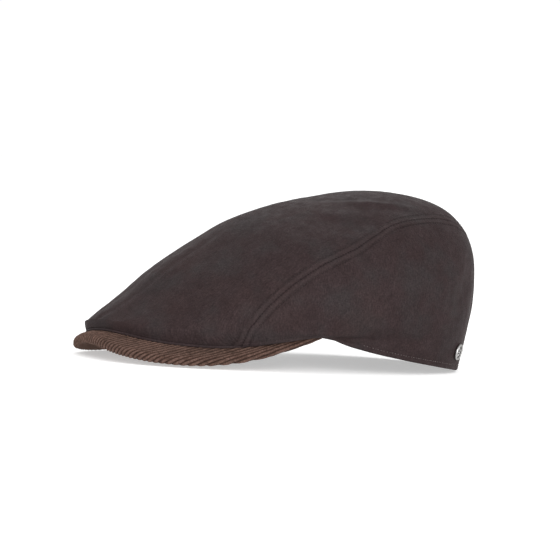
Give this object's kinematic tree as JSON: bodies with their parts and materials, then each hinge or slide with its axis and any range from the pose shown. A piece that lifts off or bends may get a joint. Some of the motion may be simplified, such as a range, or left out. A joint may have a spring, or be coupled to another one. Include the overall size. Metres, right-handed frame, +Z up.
{
  "type": "flat cap",
  "caption": "Waxed-cotton flat cap with a high rounded back, a low nose sewn down over a curved corduroy peak, and a small round pin badge.",
  "frame": {"origin": "middle of the cap's plan extent, on the plane it rests on", "axes": "+Z up; the peak points along -Y and the back of the cap along +Y; the wearer's left is +X"},
  "size_m": [0.1824, 0.2658, 0.1152],
  "materials": {
    "waxed_cotton": "dark brown waxed cotton, dull sheen",
    "corduroy": "brown needlecord, matt",
    "badge_steel": "polished steel"
  },
  "bodies": {
    "root": {"top_panel": "waxed_cotton", "side_panel_left": "waxed_cotton", "side_panel_right": "waxed_cotton", "front_welt": "waxed_cotton", "peak": "corduroy", "pin_badge": "badge_steel"}
  },
  "joints": []
}
